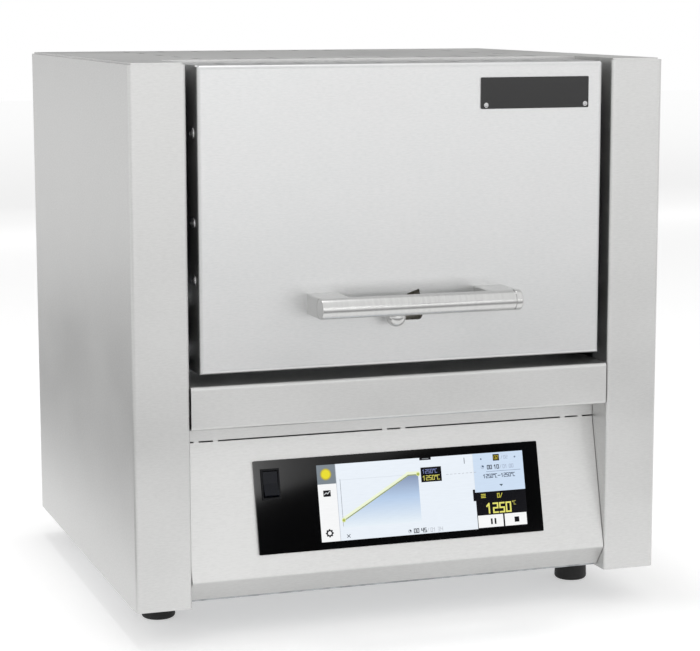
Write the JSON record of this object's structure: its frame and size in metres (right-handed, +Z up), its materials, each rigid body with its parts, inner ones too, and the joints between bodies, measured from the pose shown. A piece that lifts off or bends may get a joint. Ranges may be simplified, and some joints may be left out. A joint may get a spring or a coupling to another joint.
{
  "type": "muffle furnace",
  "caption": "Bench-top muffle furnace with a lift door on parallel links, bar handle, leaning control panel with a display, and rubber feet.",
  "frame": {"origin": "on the bench, under the middle of the whole width and of the whole depth from handle to exhaust spigot", "axes": "+Z up, +Y from the front with the door to the back with the exhaust, +X to the operator's right"},
  "size_m": [0.385, 0.3912, 0.392],
  "materials": {
    "stainless": "satin, fine horizontal texture",
    "galvanized": "zinc coated, matt",
    "polished_steel": "bright turned steel",
    "link_steel": "zinc plated flat bar",
    "black_glass": "gloss, printed black behind",
    "screen": "lit colour display",
    "black_plastic": "fine matt",
    "white_plastic": "smooth",
    "circuit_board": "solder mask",
    "fibre": "vacuum-formed ceramic fibre",
    "ceramic": "unglazed, fired",
    "heating_alloy": "oxidised heating wire",
    "rubber": "moulded, matt",
    "aluminium": "extruded, matt",
    "spring_steel": "wound wire",
    "black_plate": "black enamel"
  },
  "bodies": {
    "casing": {"side_panel_right": "stainless", "side_panel_left": "stainless", "top_cover": "stainless", "base_plate": "galvanized", "rear_panel": "stainless", "front_ledge": "stainless", "control_panel": "stainless", "front_glass": "black_glass", "display_screen": "screen", "controller_board": "circuit_board", "switch_housing": "black_plastic", "frame_pins": "polished_steel", "frame_studs": "polished_steel", "bulkhead": "galvanized", "shelf": "galvanized", "inner_shell": "galvanized", "chamber_collar": "fibre", "insulation_floor": "fibre", "insulation_roof": "fibre", "insulation_sides": "fibre", "insulation_rear": "fibre", "heating_plates": "ceramic", "heating_wires": "heating_alloy", "floor_tile": "ceramic", "thermocouple": "ceramic", "exhaust_tube": "polished_steel", "exhaust_flange": "stainless", "fan_frame": "black_plastic", "mains_inlet": "black_plastic", "heat_sink": "aluminium", "solid_state_relay": "white_plastic", "terminal_block": "white_plastic", "feet": "rubber", "foot_screws": "polished_steel", "rear_screws": "polished_steel", "side_frame_left": "galvanized", "spring_left": "spring_steel", "side_frame_right": "galvanized", "spring_right": "spring_steel"},
    "door": {"door_cover": "stainless", "door_back_plate": "stainless", "door_fibre": "fibre", "door_brackets": "galvanized", "door_pins": "polished_steel", "handle_bar": "polished_steel", "handle_end_cap": "polished_steel", "handle_arms": "polished_steel", "handle_screws": "polished_steel", "blank_plate": "black_plate", "plate_rivets": "aluminium", "door_side_screws": "polished_steel", "air_slide_guides": "galvanized"},
    "air_slide": {"air_slide_plate": "stainless", "air_slide_knob": "polished_steel"},
    "upper_links": {"upper_link_left": "link_steel", "upper_link_right": "link_steel"},
    "lower_links": {"lower_link_left": "link_steel", "lower_link_right": "link_steel"},
    "power_rocker": {"rocker": "black_plastic"},
    "cooling_fan_rotor": {"fan_rotor": "black_plastic"}
  },
  "joints": [
    {"name": "door_lift", "type": "hinge", "parent": "casing", "child": "upper_links", "pos_m": [0, 0.01209, 0.30948], "axis": [-1, 0, 0], "range_deg": [0, 62.2], "deforming": ["spring_left", "spring_right"]},
    {"name": "lower_link", "type": "hinge", "parent": "casing", "child": "lower_links", "pos_m": [0, 0.01209, 0.27348], "axis": [-1, 0, 0], "range_deg": [0, 62.2]},
    {"name": "door_level", "type": "hinge", "parent": "upper_links", "child": "door", "pos_m": [0, -0.11635, 0.232], "axis": [-1, 0, 0], "range_deg": [-62.2, 0]},
    {"name": "air_slide", "type": "slide", "parent": "door", "child": "air_slide", "axis": [1, 0, 0], "range_m": [0, 0.015]},
    {"name": "power_switch", "type": "hinge", "parent": "casing", "child": "power_rocker", "pos_m": [-0.09365, -0.14417, 0.1025], "axis": [1, 0, 0], "range_deg": [0, 18]},
    {"name": "fan_spin", "type": "hinge", "parent": "casing", "child": "cooling_fan_rotor", "pos_m": [-0.07, 0.16195, 0.104], "axis": [0, 1, 0], "continuous": true}
  ],
  "couplings": [
    {"joint": "lower_link", "follows": "door_lift", "ratio": 1},
    {"joint": "door_level", "follows": "door_lift", "ratio": -1}
  ]
}
